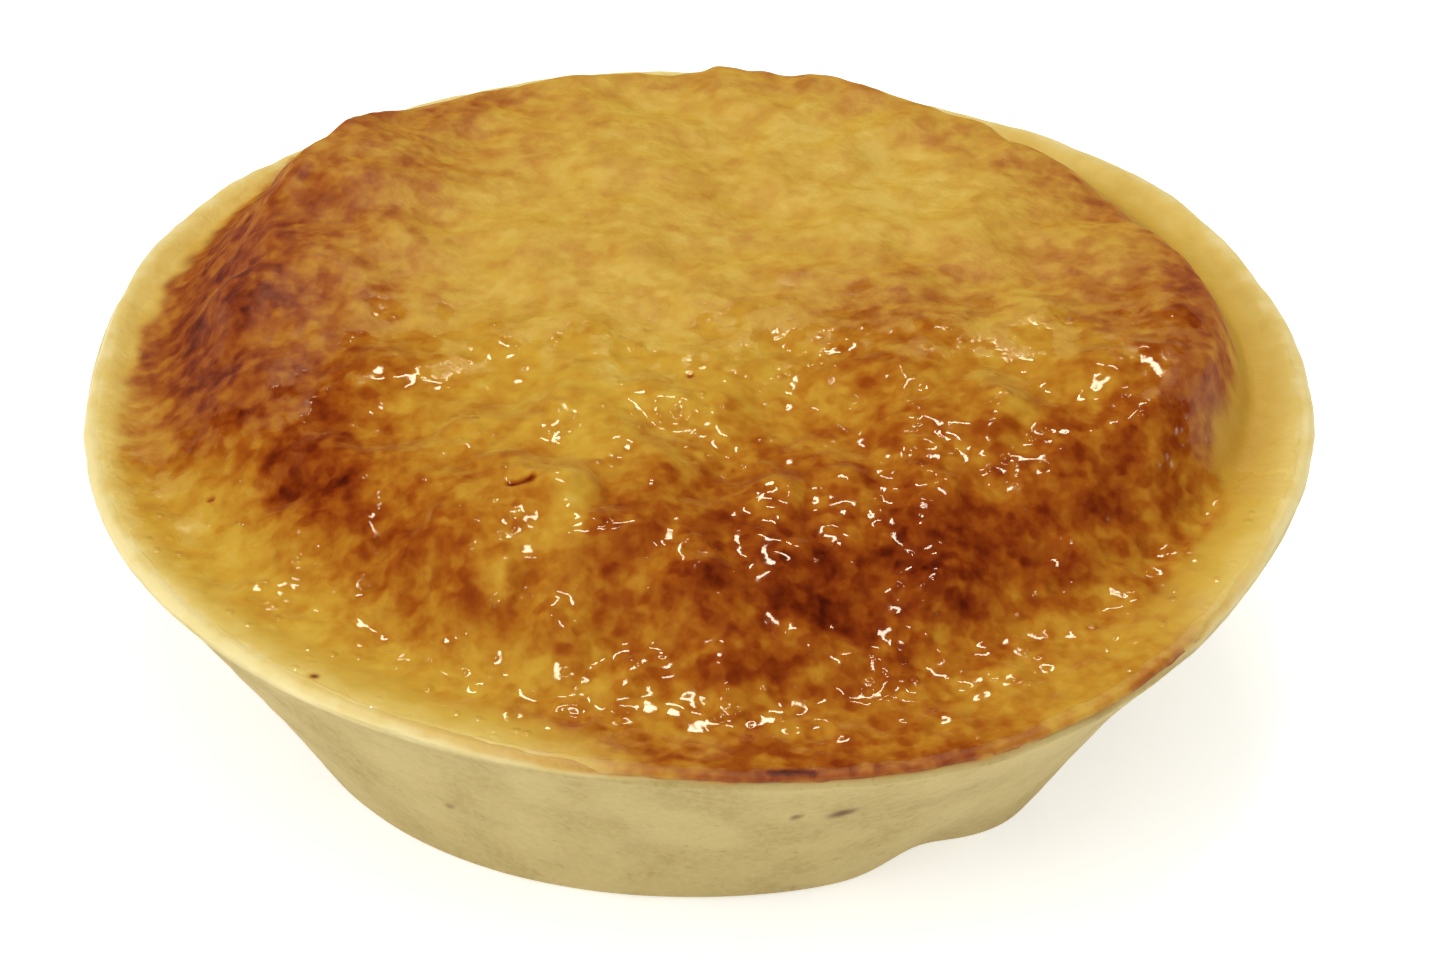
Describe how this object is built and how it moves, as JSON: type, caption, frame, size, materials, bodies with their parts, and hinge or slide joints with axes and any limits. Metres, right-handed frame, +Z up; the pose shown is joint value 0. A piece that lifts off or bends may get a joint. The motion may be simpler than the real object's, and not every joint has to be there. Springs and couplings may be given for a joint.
{
  "type": "pineapple queijada",
  "caption": "Small round open tart: a pale tapered shortcrust case filled flush with a baked, browned and glazed pineapple filling that puffs into a low mound.",
  "frame": {"origin": "centre of the base, at the middle of the outline, on the surface that the tart rests on", "axes": "+Z up through the tart, front towards -Y"},
  "size_m": [0.077, 0.0778, 0.0279],
  "materials": {
    "pastry": "dry pale shortcrust, matte, with a fine floury speckle and a smoother yellow rim",
    "baked_filling": "golden baked fruit filling, mottled, browned round the mound, with a wet syrup gloss"
  },
  "bodies": {
    "root": {"pastry_case": "pastry", "filling": "baked_filling"}
  },
  "joints": []
}
